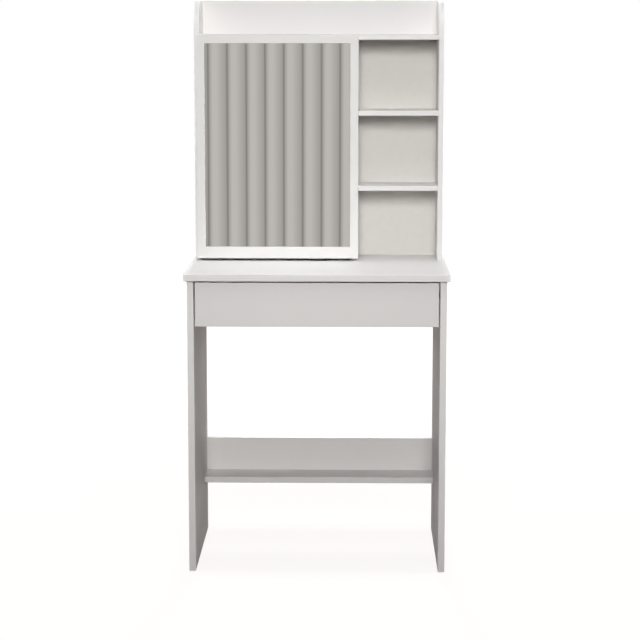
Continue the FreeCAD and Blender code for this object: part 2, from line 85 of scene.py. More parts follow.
class Nodes:
    """A small helper that adds and joins the nodes of one node tree."""

    def __init__(self, tree: bpy.types.NodeTree) -> None:
        """Holds the tree that the nodes go into.

        Args:
            tree: The node tree to fill.
        """
        self.tree = tree

    def add(self, kind: str, **settings: object) -> bpy.types.Node:
        """Adds a node and sets its properties.

        Args:
            kind: The node's Blender type name.
            settings: Property names and values.

        Returns:
            The new node.
        """
        node = self.tree.nodes.new(kind)
        for name, value in settings.items():
            setattr(node, name, value)
        return node

    def join(self, source: bpy.types.NodeSocket, target: bpy.types.NodeSocket) -> None:
        """Links one socket to another."""
        self.tree.links.new(source, target)

    def math(self, operation: str, first: object, second: object) -> bpy.types.NodeSocket:
        """A sum, product or other operation on sockets or numbers.

        Args:
            operation: The Math node's operation.
            first: A socket or a number.
            second: A socket or a number.

        Returns:
            The result's socket.
        """
        node = self.add("ShaderNodeMath", operation=operation)
        for place, value in enumerate((first, second)):
            if isinstance(value, bpy.types.NodeSocket):
                self.join(value, node.inputs[place])
            else:
                node.inputs[place].default_value = value
        return node.outputs["Value"]

    def stretched(self, stretch: Point) -> bpy.types.NodeSocket:
        """Object coordinates scaled along each axis.

        Args:
            stretch: The scale along X, Y and Z.

        Returns:
            The scaled coordinates' socket.
        """
        coordinates = self.add("ShaderNodeTexCoord")
        mapping = self.add("ShaderNodeMapping")
        mapping.inputs["Scale"].default_value = stretch
        self.join(coordinates.outputs["Object"], mapping.inputs["Vector"])
        return mapping.outputs["Vector"]


class SurfaceGroup:
    """The shader group behind every finish: mottled colour, uneven gloss and a fine height."""

    NAME = "uneven_surface"
    CLOUD_DETAIL = 4.0
    GRAIN_DETAIL = 2.0
    GRAIN_SHARE = 0.6
    NOISE_MEAN = 0.5
    INPUTS = (
        ("Vector", "NodeSocketVector", (0.0, 0.0, 0.0)),
        ("Colour", "NodeSocketColor", (0.8, 0.8, 0.8, 1.0)),
        ("Dark", "NodeSocketColor", (0.7, 0.7, 0.7, 1.0)),
        ("Mottle", "NodeSocketFloat", 0.3),
        ("Mottle Scale", "NodeSocketFloat", 8.0),
        ("Grain Scale", "NodeSocketFloat", 700.0),
        ("Roughness", "NodeSocketFloat", 0.4),
        ("Roughness Spread", "NodeSocketFloat", 0.1),
    )
    OUTPUTS = (
        ("Colour", "NodeSocketColor"),
        ("Roughness", "NodeSocketFloat"),
        ("Height", "NodeSocketFloat"),
    )

    @classmethod
    def tree(cls) -> bpy.types.NodeTree:
        """The group, built on first use.

        Returns:
            The shader node group.
        """
        if cls.NAME in bpy.data.node_groups:
            return bpy.data.node_groups[cls.NAME]
        group = bpy.data.node_groups.new(cls.NAME, "ShaderNodeTree")
        for name, kind, default in cls.INPUTS:
            socket = group.interface.new_socket(name, in_out="INPUT", socket_type=kind)
            socket.default_value = default
        for name, kind in cls.OUTPUTS:
            group.interface.new_socket(name, in_out="OUTPUT", socket_type=kind)
        cls._fill(Nodes(group))
        return group

    @classmethod
    def _fill(cls, nodes: Nodes) -> None:
        """Joins the noises to the group's outputs.

        Args:
            nodes: The helper of the group's own tree.
        """
        given = nodes.add("NodeGroupInput").outputs
        result = nodes.add("NodeGroupOutput").inputs
        cloud = nodes.add("ShaderNodeTexNoise")
        cloud.inputs["Detail"].default_value = cls.CLOUD_DETAIL
        grain = nodes.add("ShaderNodeTexNoise")
        grain.inputs["Detail"].default_value = cls.GRAIN_DETAIL
        nodes.join(given["Mottle Scale"], cloud.inputs["Scale"])
        nodes.join(given["Grain Scale"], grain.inputs["Scale"])
        for texture in (cloud, grain):
            nodes.join(given["Vector"], texture.inputs["Vector"])
        fine = nodes.math("MULTIPLY", grain.outputs["Fac"], cls.GRAIN_SHARE)
        both = nodes.math("ADD", cloud.outputs["Fac"], fine)
        spread = nodes.math("SUBTRACT", both, cls.NOISE_MEAN * (1.0 + cls.GRAIN_SHARE))
        share = nodes.math("MULTIPLY", nodes.math("ADD", spread, cls.NOISE_MEAN), given["Mottle"])
        mix = nodes.add("ShaderNodeMix", data_type="RGBA")
        nodes.join(share, mix.inputs["Factor"])
        nodes.join(given["Colour"], mix.inputs["A"])
        nodes.join(given["Dark"], mix.inputs["B"])
        nodes.join(mix.outputs["Result"], result["Colour"])
        uneven = nodes.math("MULTIPLY", spread, given["Roughness Spread"])
        nodes.join(nodes.math("ADD", given["Roughness"], uneven), result["Roughness"])
        nodes.join(grain.outputs["Fac"], result["Height"])


@dataclass(frozen=True)
class Finish:
    """A finish made of one mottled colour, an uneven gloss and a fine relief."""

    name: str
    colour: Colour
    dark: Colour
    mottle: float = 0.3
    mottle_scale: float = 7.0
    grain_scale: float = 900.0
    roughness: float = 0.4
    roughness_spread: float = 0.12
    relief: float = 0.00003
    metallic: float = 0.0
    coat: float = 0.0
    specular: float = 0.5
    stretch: Point = (1.0, 1.0, 1.0)

    def material(self) -> bpy.types.Material:
        """The finish as a material, built on first use.

        Returns:
            The material.
        """
        if self.name in bpy.data.materials:
            return bpy.data.materials[self.name]
        material = bpy.data.materials.new(self.name)
        material.use_nodes = True
        nodes = Nodes(material.node_tree)
        shader = material.node_tree.nodes["Principled BSDF"]
        shader.inputs["Metallic"].default_value = self.metallic
        shader.inputs["Coat Weight"].default_value = self.coat
        shader.inputs["Specular IOR Level"].default_value = self.specular
        surface = nodes.add("ShaderNodeGroup")
        surface.node_tree = SurfaceGroup.tree()
        surface.inputs["Mottle"].default_value = self.mottle
        surface.inputs["Mottle Scale"].default_value = self.mottle_scale
        surface.inputs["Grain Scale"].default_value = self.grain_scale
        surface.inputs["Roughness"].default_value = self.roughness
        surface.inputs["Roughness Spread"].default_value = self.roughness_spread
        nodes.join(nodes.stretched(self.stretch), surface.inputs["Vector"])
        self.colours(nodes, surface)
        nodes.join(surface.outputs["Colour"], shader.inputs["Base Color"])
        nodes.join(surface.outputs["Roughness"], shader.inputs["Roughness"])
        bump = nodes.add("ShaderNodeBump")
        bump.inputs["Distance"].default_value = self.relief
        nodes.join(surface.outputs["Height"], bump.inputs["Height"])
        nodes.join(bump.outputs["Normal"], shader.inputs["Normal"])
        return material

    def colours(self, nodes: Nodes, surface: bpy.types.Node) -> None:
        """Sets the two colours that the surface group mixes.

        Args:
            nodes: The helper of the material's tree.
            surface: The surface group's node.
        """
        surface.inputs["Colour"].default_value = (*self.colour, 1.0)
        surface.inputs["Dark"].default_value = (*self.dark, 1.0)


@dataclass(frozen=True)
class TwoFacedFinish(Finish):
    """A thin sheet whose front is lacquered and whose other faces are bare fibre."""

    bare: Colour = (0.2, 0.12, 0.06)
    bare_dark: Colour = (0.12, 0.07, 0.035)
    show: Point = (0.0, -1.0, 0.0)
    least_facing: float = 0.5

    def colours(self, nodes: Nodes, surface: bpy.types.Node) -> None:
        """Mixes the lacquer and the bare fibre by the way that each face looks.

        Args:
            nodes: The helper of the material's tree.
            surface: The surface group's node.
        """
        coordinates = nodes.add("ShaderNodeTexCoord")
        facing = nodes.add("ShaderNodeVectorMath", operation="DOT_PRODUCT")
        facing.inputs[1].default_value = self.show
        nodes.join(coordinates.outputs["Normal"], facing.inputs[0])
        front = nodes.math("GREATER_THAN", facing.outputs["Value"], self.least_facing)
        pairs = {"Colour": (self.bare, self.colour), "Dark": (self.bare_dark, self.dark)}
        for name, (bare, lacquered) in pairs.items():
            mix = nodes.add("ShaderNodeMix", data_type="RGBA")
            nodes.join(front, mix.inputs["Factor"])
            mix.inputs["A"].default_value = (*bare, 1.0)
            mix.inputs["B"].default_value = (*lacquered, 1.0)
            nodes.join(mix.outputs["Result"], surface.inputs[name])


FIBRE = linear(139, 107, 78)
LAMINATE = Finish(
    "white_laminate_film",
    colour=linear(231, 229, 228),
    dark=linear(221, 219, 217),
    roughness=0.5,
    specular=0.07,
)
EDGE_BAND = Finish(
    "white_edge_band",
    colour=linear(237, 236, 235),
    dark=linear(222, 220, 217),
    mottle=0.5,
    mottle_scale=25.0,
    grain_scale=1400.0,
    roughness=0.34,
    specular=0.35,
)
FRAME_FOIL = Finish(
    "white_door_foil",
    colour=linear(231, 231, 229),
    dark=linear(223, 222, 219),
    roughness=0.42,
    specular=0.35,
    grain_scale=600.0,
)
BACK_BOARD = TwoFacedFinish(
    "lacquered_hardboard",
    colour=linear(221, 219, 214),
    dark=linear(211, 208, 202),
    roughness=0.5,
    bare=FIBRE,
    bare_dark=linear(104, 76, 52),
    mottle=0.7,
    mottle_scale=60.0,
)
DRAWER_BOARD = replace(
    BACK_BOARD,
    name="lacquered_drawer_bottom",
    dark=linear(208, 205, 199),
    show=(0.0, 0.0, 1.0),
)
BARE_BOARD = Finish(
    "bare_hardboard",
    colour=FIBRE,
    dark=linear(96, 70, 48),
    mottle=0.8,
    mottle_scale=70.0,
    roughness=0.65,
    relief=0.00008,
)
SILVERED_GLASS = Finish(
    "silvered_glass",
    colour=(0.86, 0.87, 0.87),
    dark=(0.84, 0.855, 0.85),
    mottle_scale=3.0,
    grain_scale=20.0,
    roughness=0.012,
    roughness_spread=0.01,
    relief=0.0,
    metallic=1.0,
)
ZINC_STEEL = Finish(
    "zinc_plated_steel",
    colour=linear(196, 199, 204),
    dark=linear(150, 153, 160),
    mottle_scale=30.0,
    grain_scale=500.0,
    roughness=0.3,
    metallic=1.0,
    stretch=(1.0, 0.06, 1.0),
)
CAST_ZINC = Finish(
    "cast_zinc",
    colour=linear(160, 160, 163),
    dark=linear(112, 112, 116),
    mottle=0.7,
    mottle_scale=120.0,
    roughness=0.48,
    metallic=1.0,
)
ALUMINIUM = Finish(
    "anodised_channel",
    colour=linear(214, 215, 218),
    dark=linear(180, 182, 186),
    mottle_scale=20.0,
    grain_scale=700.0,
    roughness=0.34,
    metallic=1.0,
    stretch=(0.05, 1.0, 1.0),
)
NYLON = Finish(
    "white_nylon",
    colour=linear(236, 236, 231),
    dark=linear(219, 219, 212),
    mottle_scale=90.0,
    roughness=0.46,
    relief=0.00005,
)
DARK_NYLON = Finish(
    "dark_nylon",
    colour=linear(58, 57, 56),
    dark=linear(44, 43, 42),
    mottle=0.5,
    mottle_scale=90.0,
    roughness=0.5,
    relief=0.00005,
)
GLIDE_PLASTIC = Finish(
    "glide_plastic",
    colour=linear(206, 206, 203),
    dark=linear(178, 178, 175),
    mottle=0.5,
    mottle_scale=120.0,
    roughness=0.55,
)
BEECH = Finish(
    "beech_dowel",
    colour=linear(214, 178, 134),
    dark=linear(172, 128, 84),
    mottle=0.8,
    mottle_scale=60.0,
    roughness=0.6,
    relief=0.0001,
    stretch=(0.3, 1.0, 1.0),
)
NAIL_STEEL = Finish(
    "zinc_plated_nail",
    colour=linear(214, 216, 220),
    dark=linear(176, 178, 184),
    mottle=0.6,
    mottle_scale=300.0,
    roughness=0.36,
    metallic=1.0,
)


@dataclass
class Box:
    """A box between two corners."""

    low: Vector
    high: Vector

    @classmethod
    def of_node(cls, node: str) -> "Box":
        """The box of a CAD node at rest."""
        low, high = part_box(node)
        return cls(Vector(low), Vector(high))

    @property
    def centre(self) -> Vector:
        """The middle of the box."""
        return (self.low + self.high) / 2

    @property
    def size(self) -> Vector:
        """The box's length along each axis."""
        return self.high - self.low


def islands(mesh: bpy.types.Mesh) -> list[Box]:
    """The boxes of the separate solids in a mesh of loose triangles.

    Args:
        mesh: A CAD node's mesh.

    Returns:
        One box for each solid, in the order of the mesh.
    """
    digits = 6
    owner: dict[tuple[float, ...], tuple[float, ...]] = {}

    def root(key: tuple[float, ...]) -> tuple[float, ...]:
        """The first point of the solid that a point belongs to.

        Args:
            key: A point of the mesh.

        Returns:
            The point that stands for its solid.
        """
        while owner[key] != key:
            owner[key] = owner[owner[key]]
            key = owner[key]
        return key

    keys = [tuple(round(value, digits) for value in vertex.co) for vertex in mesh.vertices]
    for key in keys:
        owner.setdefault(key, key)
    for polygon in mesh.polygons:
        first = root(keys[polygon.vertices[0]])
        for corner in polygon.vertices[1:]:
            owner[root(keys[corner])] = first
    found: dict[tuple[float, ...], Box] = {}
    for key in keys:
        point = Vector(key)
        group = found.setdefault(root(key), Box(point.copy(), point.copy()))
        group.low = Vector(map(min, group.low, point))
        group.high = Vector(map(max, group.high, point))
    return list(found.values())


@dataclass(frozen=True)
class Stud:
    """One place for a small repeated fitting: where it sits and which way it looks."""

    place: Vector
    facing: Vector


@dataclass(frozen=True)
class StudPattern:
    """A small round fitting, such as a cap, nail or screw head, repeated by Geometry Nodes."""

    name: str
    finish: Finish
    radius: float
    height: float
    crown: float
    slot: str
    sides: int = 24
    recess: float = 0.0

    TREE = "round_fittings"
    WELD = 0.00001
    CROSS_SHARE = 1.1

    @classmethod
    def tree(cls) -> bpy.types.NodeTree:
        """The Geometry Nodes tree that stands a crowned disc on every point, built on first use.

        Returns:
            The node tree.
        """
        if cls.TREE in bpy.data.node_groups:
            return bpy.data.node_groups[cls.TREE]
        tree = bpy.data.node_groups.new(cls.TREE, "GeometryNodeTree")
        made = tree.interface.new_socket
        made("Geometry", in_out="OUTPUT", socket_type="NodeSocketGeometry")
        made("Geometry", in_out="INPUT", socket_type="NodeSocketGeometry")
        for name in ("Radius", "Height", "Crown", "Recess"):
            made(name, in_out="INPUT", socket_type="NodeSocketFloat")
        made("Sides", in_out="INPUT", socket_type="NodeSocketInt")
        made("Material", in_out="INPUT", socket_type="NodeSocketMaterial")
        nodes = Nodes(tree)
        given = nodes.add("NodeGroupInput").outputs
        head = cls._recessed(nodes, given, cls._head(nodes, given))
        facing = nodes.add("GeometryNodeInputNamedAttribute", data_type="FLOAT_VECTOR")
        facing.inputs["Name"].default_value = "facing"
        turn = nodes.add("FunctionNodeAlignRotationToVector", axis="Z")
        nodes.join(facing.outputs["Attribute"], turn.inputs["Vector"])
        stand = nodes.add("GeometryNodeInstanceOnPoints")
        nodes.join(given["Geometry"], stand.inputs["Points"])
        nodes.join(head, stand.inputs["Instance"])
        nodes.join(turn.outputs["Rotation"], stand.inputs["Rotation"])
        real = nodes.add("GeometryNodeRealizeInstances")
        nodes.join(stand.outputs["Instances"], real.inputs["Geometry"])
        dress = nodes.add("GeometryNodeSetMaterial")
        nodes.join(real.outputs["Geometry"], dress.inputs["Geometry"])
        nodes.join(given["Material"], dress.inputs["Material"])
        nodes.join(dress.outputs["Geometry"], nodes.add("NodeGroupOutput").inputs["Geometry"])
        return tree

    @classmethod
    def _head(cls, nodes: Nodes, given: bpy.types.NodeOutputs) -> bpy.types.NodeSocket:
        """One closed head: a rim with a flatter crown on it.

        Args:
            nodes: The helper of the fittings' tree.
            given: The tree's inputs.

        Returns:
            The head's geometry socket.
        """
        rim = nodes.add("GeometryNodeMeshCone")
        dome = nodes.add("GeometryNodeMeshCone")
        both = nodes.add("GeometryNodeJoinGeometry")
        lift = nodes.add("GeometryNodeTransform")
        offset = nodes.add("ShaderNodeCombineXYZ")
        half = nodes.math("MULTIPLY", given["Height"], 0.5)
        shoulder = nodes.math("MULTIPLY", given["Radius"], given["Crown"])
        top = nodes.math("MULTIPLY", shoulder, given["Crown"])
        for cone, wide, narrow in ((rim, given["Radius"], shoulder), (dome, shoulder, top)):
            nodes.join(given["Sides"], cone.inputs["Vertices"])
            nodes.join(wide, cone.inputs["Radius Bottom"])
            nodes.join(narrow, cone.inputs["Radius Top"])
            nodes.join(half, cone.inputs["Depth"])
        nodes.join(half, offset.inputs["Z"])
        nodes.join(offset.outputs["Vector"], lift.inputs["Translation"])
        opened = []
        for cone, end in ((rim, "Top"), (dome, "Bottom")):
            cut = nodes.add("GeometryNodeDeleteGeometry", domain="FACE")
            nodes.join(cone.outputs["Mesh"], cut.inputs["Geometry"])
            nodes.join(cone.outputs[end], cut.inputs["Selection"])
            opened.append(cut.outputs["Geometry"])
        nodes.join(opened[1], lift.inputs["Geometry"])
        nodes.join(opened[0], both.inputs["Geometry"])
        nodes.join(lift.outputs["Geometry"], both.inputs["Geometry"])
        weld = nodes.add("GeometryNodeMergeByDistance")
        weld.inputs["Distance"].default_value = cls.WELD
        nodes.join(both.outputs["Geometry"], weld.inputs["Geometry"])
        return weld.outputs["Geometry"]

    @classmethod
    def _recessed(
        cls, nodes: Nodes, given: bpy.types.NodeOutputs, head: bpy.types.NodeSocket
    ) -> bpy.types.NodeSocket:
        """The head with a cross cut into its crown, where a recess is asked for.

        Args:
            nodes: The helper of the fittings' tree.
            given: The tree's inputs.
            head: The plain head's geometry socket.

        Returns:
            The geometry socket of the head to repeat.
        """
        carve = nodes.add("GeometryNodeMeshBoolean", operation="DIFFERENCE", solver="EXACT")
        nodes.join(head, carve.inputs["Mesh 1"])
        long = nodes.math("MULTIPLY", given["Radius"], cls.CROSS_SHARE)
        for order in ((long, given["Recess"]), (given["Recess"], long)):
            size = nodes.add("ShaderNodeCombineXYZ")
            place = nodes.add("ShaderNodeCombineXYZ")
            bar = nodes.add("GeometryNodeMeshCube")
            lift = nodes.add("GeometryNodeTransform")
            for axis, length in zip("XY", order):
                nodes.join(length, size.inputs[axis])
            nodes.join(given["Height"], size.inputs["Z"])
            nodes.join(given["Height"], place.inputs["Z"])
            nodes.join(size.outputs["Vector"], bar.inputs["Size"])
            nodes.join(bar.outputs["Mesh"], lift.inputs["Geometry"])
            nodes.join(place.outputs["Vector"], lift.inputs["Translation"])
            nodes.join(lift.outputs["Geometry"], carve.inputs["Mesh 2"])
        choice = nodes.add("GeometryNodeSwitch", input_type="GEOMETRY")
        nodes.join(nodes.math("GREATER_THAN", given["Recess"], 0.0), choice.inputs["Switch"])
        nodes.join(head, choice.inputs["False"])
        nodes.join(carve.outputs["Mesh"], choice.inputs["True"])
        return choice.outputs["Output"]

    def build(self, studs: Sequence[Stud], body: Body) -> bpy.types.Object:
        """Makes the fittings as one plain mesh that rides on a body.

        Args:
            studs: The places of the fittings.
            body: The body that carries them.

        Returns:
            The finished object.
        """
        mesh = bpy.data.meshes.new(self.name)
        mesh.from_pydata([stud.place for stud in studs], [], [])
        facing = mesh.attributes.new("facing", "FLOAT_VECTOR", "POINT")
        for item, stud in zip(facing.data, studs):
            item.vector = stud.facing
        piece = bpy.data.objects.new(self.name, mesh)
        bpy.context.scene.collection.objects.link(piece)
        modifier = piece.modifiers.new("fittings", "NODES")
        modifier.node_group = self.tree()
        values = {
            "Radius": self.radius,
            "Height": self.height,
            "Crown": self.crown,
            "Sides": self.sides,
            "Recess": self.recess,
            "Material": self.finish.material(),
        }
        for item in modifier.node_group.interface.items_tree:
            if item.in_out == "INPUT" and item.name in values:
                modifier[item.identifier] = values[item.name]
        settle(piece)
        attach(piece, body.value)
        LOG.info("%s: %d on %s", self.name, len(studs), body.value)
        return piece


def settle(piece: bpy.types.Object) -> None:
    """Turns an object's evaluated shape into its plain mesh and drops its modifiers.

    Args:
        piece: The object to settle.
    """
    graph = bpy.context.evaluated_depsgraph_get()
    mesh = bpy.data.meshes.new_from_object(piece.evaluated_get(graph))
    piece.modifiers.clear()
    piece.data = mesh


def give_finish(nodes: Iterable[str], finish: Finish) -> None:
    """Gives CAD nodes a finish.

    Args:
        nodes: The nodes' names.
        finish: The finish that they get.
    """
    for name in nodes:
        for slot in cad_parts[name].material_slots:
            slot.material = finish.material()
        LOG.info("%s: %s", name, finish.name)


@dataclass(frozen=True)
class EasedBoard:
    """A laminated board with banded edges, whose outer arrises are eased as the band is trimmed."""

    node: str
    body: Body
    radius: float = 0.0008
    segments: int = 3
    least_loop: float = 0.04
    sharp: float = math.radians(50.0)
    edge_slope: float = 0.3
    weld: float = 0.000001
    flat: float = math.radians(0.5)
    slot: str = "white_laminate"

    def build(self) -> bpy.types.Object:
        """Makes the eased board in the place of its CAD node.

        Returns:
            The finished board.
        """
        mesh = self.shape()
        mesh.shade_smooth()
        mesh.set_sharp_from_angle(angle=self.sharp)
        piece = bpy.data.objects.new(mesh.name, mesh)
        bpy.context.scene.collection.objects.link(piece)
        shading = piece.modifiers.new("flat_faces", "WEIGHTED_NORMAL")
        shading.keep_sharp = True
        settle(piece)
        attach(piece, self.body.value)
        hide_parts(self.node)
        LOG.info("%s: %d faces", piece.name, len(piece.data.polygons))
        return piece

    def shape(self) -> bpy.types.Mesh:
        """The CAD node's shape with eased arrises, and with the band on them and on its narrow faces.

        Returns:
            The board's mesh with its finishes.
        """
        form = bmesh.new()
        form.from_mesh(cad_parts[self.node].data)
        bmesh.ops.remove_doubles(form, verts=form.verts, dist=self.weld)
        bmesh.ops.dissolve_limit(form, angle_limit=self.flat, verts=form.verts, edges=form.edges)
        eased = bmesh.ops.bevel(
            form,
            geom=self.arrises(form),
            offset=self.radius,
            offset_type="OFFSET",
            segments=self.segments,
            profile=0.5,
            affect="EDGES",
            clamp_overlap=True,
        )
        form.normal_update()
        finishes = (LAMINATE, EDGE_BAND)
        size = Box.of_node(self.node).size
        thin = min(Axis, key=lambda axis: size[axis.value])
        narrow = [face for face in form.faces if abs(face.normal[thin.value]) < self.edge_slope]
        for face in {*eased["faces"], *narrow}:
            face.material_index = finishes.index(EDGE_BAND)
        mesh = bpy.data.meshes.new(f"{self.node}_board")
        form.to_mesh(mesh)
        form.free()
        for finish in finishes:
            mesh.materials.append(finish.material())
        return mesh

    def arrises(self, form: bmesh.types.BMesh) -> list[bmesh.types.BMEdge]:
        """The board's outer sharp edges, without the rims of its drilled holes.

        Args:
            form: The board's welded shape.

        Returns:
            The edges to ease.
        """
        form.edges.index_update()
        edges = [edge for edge in form.edges if self.is_arris(edge)]
        waiting = set(edges)
        kept: list[bmesh.types.BMEdge] = []
        for first in edges:
            if first not in waiting:
                continue
            waiting.discard(first)
            loop = [first]
            for edge in loop:
                near = {other for corner in edge.verts for other in corner.link_edges if other in waiting}
                waiting -= near
                loop += sorted(near, key=lambda other: other.index)
            corners = [corner.co for edge in loop for corner in edge.verts]
            reach = [max(axis) - min(axis) for axis in zip(*corners)]
            if max(reach) > self.least_loop:
                kept += loop
        return kept

    def is_arris(self, edge: bmesh.types.BMEdge) -> bool:
        """True where two faces meet in a sharp outward edge."""
        return len(edge.link_faces) == 2 and edge.is_convex and edge.calc_face_angle() > self.sharp


@dataclass
class TableFrame:
    """The tabletop, legs, rails and low shelf, with the caps over their cams."""

    boards: Sequence[str] = (
        "tabletop",
        "left_leg_panel",
        "right_leg_panel",
        "rear_apron",
        "lower_back_rail",
        "lower_shelf",
    )
    cap: StudPattern = StudPattern(
        "cam_cover_caps", NYLON, radius=0.0088, height=0.0014, crown=0.9, slot="white_nylon"
    )

    def build(self) -> None:
        """Eases the boards and covers every cam of the fixed boards with a cap."""
        for name in self.boards:
            EasedBoard(name, Body.TABLE).build()
        cams = islands(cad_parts["cam_locks"].data)
        self.cap.build([self.mouth(cam) for cam in cams], Body.TABLE)

    @staticmethod
    def mouth(cam: Box) -> Stud:
        """The open end of a cam: inwards on upright boards, to the rear on rails and down on flat boards.

        Args:
            cam: The cam's box.

        Returns:
            The place and direction of its open end.
        """
        axis = min(Axis, key=lambda each: cam.size[each.value])
        facing = Vector((0.0, 0.0, 0.0))
        inwards = -math.copysign(1.0, cam.centre.x)
        facing[axis.value] = {Axis.X: inwards, Axis.Y: 1.0, Axis.Z: -1.0}[axis]
        return Stud(cam.centre + facing * cam.size[axis.value] / 2, facing)

    def dress(self) -> None:
        """Gives the feet and fittings their finishes."""
        give_finish(("foot_glides",), GLIDE_PLASTIC)
        give_finish(("cam_locks",), CAST_ZINC)
        give_finish(("cam_bolts",), ZINC_STEEL)
        give_finish(("wood_dowels",), BEECH)


@dataclass
class Hutch:
    """The hutch's boards and thin back, with the nails that hold the back to the divider and shelves."""

    boards: Sequence[str] = (
        "hutch_left_side",
        "hutch_right_side",
        "hutch_top_board",
        "hutch_divider",
        "gallery_rail",
        "left_lower_shelf",
        "left_upper_shelf",
        "right_lower_shelf",
        "right_upper_shelf",
    )
    nail: StudPattern = StudPattern(
        "back_nails", NAIL_STEEL, radius=0.0026, height=0.0008, crown=0.8, slot="zinc_steel", sides=16
    )
    nailed: Sequence[str] = (
        "hutch_divider",
        "left_lower_shelf",
        "left_upper_shelf",
        "right_lower_shelf",
        "right_upper_shelf",
    )
    nail_spacing: float = 0.09
    nail_margin: float = 0.03

    def build(self) -> None:
        """Eases the boards and nails the back along the divider and the shelves."""
        for name in self.boards:
            EasedBoard(name, Body.TABLE).build()
        rear = Box.of_node("hutch_back_panel").high.y
        studs = []
        for name in self.nailed:
            board = Box.of_node(name)
            axis = Axis.Z if name == "hutch_divider" else Axis.X
            studs += [Stud(place, Vector((0, 1, 0))) for place in self.row(board, axis, rear)]
        self.nail.build(studs, Body.TABLE)

    def row(self, board: Box, axis: Axis, rear: float) -> list[Vector]:
        """Even places along the middle of a board's rear edge.

        Args:
            board: The board's box.
            axis: The axis along the board.
            rear: The back panel's rear face.

        Returns:
            The places on that face.
        """
        length = board.size[axis.value] - 2 * self.nail_margin
        count = max(2, round(length / self.nail_spacing) + 1)
        places = []
        for step in range(count):
            place = board.centre.copy()
            place.y = rear
            place[axis.value] = board.low[axis.value] + self.nail_margin + length * step / (count - 1)
            places.append(place)
        return places

    def dress(self) -> None:
        """Gives the back its finish."""
        give_finish(("hutch_back_panel",), BACK_BOARD)


@dataclass
class MirrorDoor:
    """The sliding mirror door with its frame, glass, clips and running gear."""

    frame_members: Sequence[str] = (
        "door_left_stile",
        "door_right_stile",
        "door_top_rail",
        "door_bottom_rail",
    )
    clip: StudPattern = StudPattern(
        "backing_clips", NYLON, radius=0.006, height=0.002, crown=0.85, slot="white_nylon", sides=20
    )
    clips_per_side: int = 3
    clip_inset: float = 0.004

    def build(self) -> None:
        """Holds the backing with round clips along its edges."""
        backing = Box.of_node("door_backing")
        inset = self.clip.radius + self.clip_inset
        studs = []
        for step in range(self.clips_per_side):
            share = (step + 0.5) / self.clips_per_side
            z = backing.low.z + backing.size.z * share
            for x in (backing.low.x + inset, backing.high.x - inset):
                studs.append(Stud(Vector((x, backing.high.y, z)), Vector((0, 1, 0))))
        self.clip.build(studs, Body.DOOR)

    def dress(self) -> None:
        """Gives the door's pieces their finishes."""
        give_finish(self.frame_members, FRAME_FOIL)
        give_finish(("mirror_glass",), SILVERED_GLASS)
        give_finish(("door_backing",), BARE_BOARD)
        give_finish(("door_channel",), ALUMINIUM)
        give_finish(("channel_stops", "door_runners"), NYLON)
        give_finish(("door_floor_guide",), DARK_NYLON)
        give_finish(("door_dowels",), BEECH)


@dataclass
class Drawer:
    """The drawer box and its telescopic slides."""

    boards: Sequence[str] = ("drawer_front", "drawer_left_side", "drawer_right_side", "drawer_back")
    cap: StudPattern = StudPattern(
        "drawer_cam_caps", NYLON, radius=0.0085, height=0.0012, crown=0.9, slot="white_nylon"
    )
    screw: StudPattern = StudPattern(
        "slide_screws",
        ZINC_STEEL,
        radius=0.0036,
        height=0.0022,
        crown=0.86,
        slot="zinc_steel",
        sides=20,
        recess=0.0009,
    )
    screw_places: Sequence[float] = (0.06, 0.4, 0.9)
    slide_metal: float = 0.0012
    slide_members: Sequence[str] = (
        "slide_outer",
        "slide_middle",
        "slide_inner",
        "outer_ball_cage",
        "inner_ball_cage",
    )

    def build(self) -> None:
        """Eases the boards and covers the drawer's cams, which open outwards above the slides."""
        for name in self.boards:
            EasedBoard(name, Body.DRAWER).build()
        studs = []
        for cam in islands(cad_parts["drawer_cam_locks"].data):
            inward = TableFrame.mouth(cam).facing
            studs.append(Stud(cam.centre - inward * cam.size.x / 2, -inward))
        self.cap.build(studs, Body.DRAWER)
        self.screw.build([*self.screws("left", 1.0), *self.screws("right", -1.0)], Body.DRAWER)

    def screws(self, side: str, inward: float) -> Iterator[Stud]:
        """The screws that hold a slide's inner member to the drawer's side.

        Args:
            side: The slide's side, left or right.
            inward: The way from the leg to the drawer along X, 1 or -1.

        Yields:
            The place of each screw on the member's web, looking at the leg.
        """
        member = Box.of_node(f"{side}_slide_inner")
        web = (member.high.x if inward > 0 else member.low.x) - inward * self.slide_metal
        for share in self.screw_places:
            place = Vector((web, member.low.y + share * member.size.y, member.centre.z))
            yield Stud(place, Vector((-inward, 0.0, 0.0)))

    def dress(self) -> None:
        """Gives the drawer's bottom and fittings and the slides their finishes."""
        give_finish(("drawer_bottom",), DRAWER_BOARD)
        give_finish(("drawer_cam_locks",), CAST_ZINC)
        give_finish(("drawer_cam_bolts",), ZINC_STEEL)
        give_finish(("drawer_dowels",), BEECH)
        for side in ("left", "right"):
            give_finish([f"{side}_{member}" for member in self.slide_members], ZINC_STEEL)


@dataclass(frozen=True)
class SoftLamp:
    """A square soft box aimed at a point."""

    name: str
    place: Point
    target: Point
    size: float
    power: float
    beam: float = 180.0

    def build(self) -> None:
        """Adds the lamp to the scene."""
        light = bpy.data.lights.new(self.name, "AREA")
        light.shape = "SQUARE"
        light.size = self.size
        light.energy = self.power
        light.spread = math.radians(self.beam)
        lamp = bpy.data.objects.new(self.name, light)
        lamp.location = self.place
        aim = Vector(self.target) - Vector(self.place)
        lamp.rotation_euler = aim.to_track_quat("-Z", "Y").to_euler()
        bpy.context.scene.collection.objects.link(lamp)


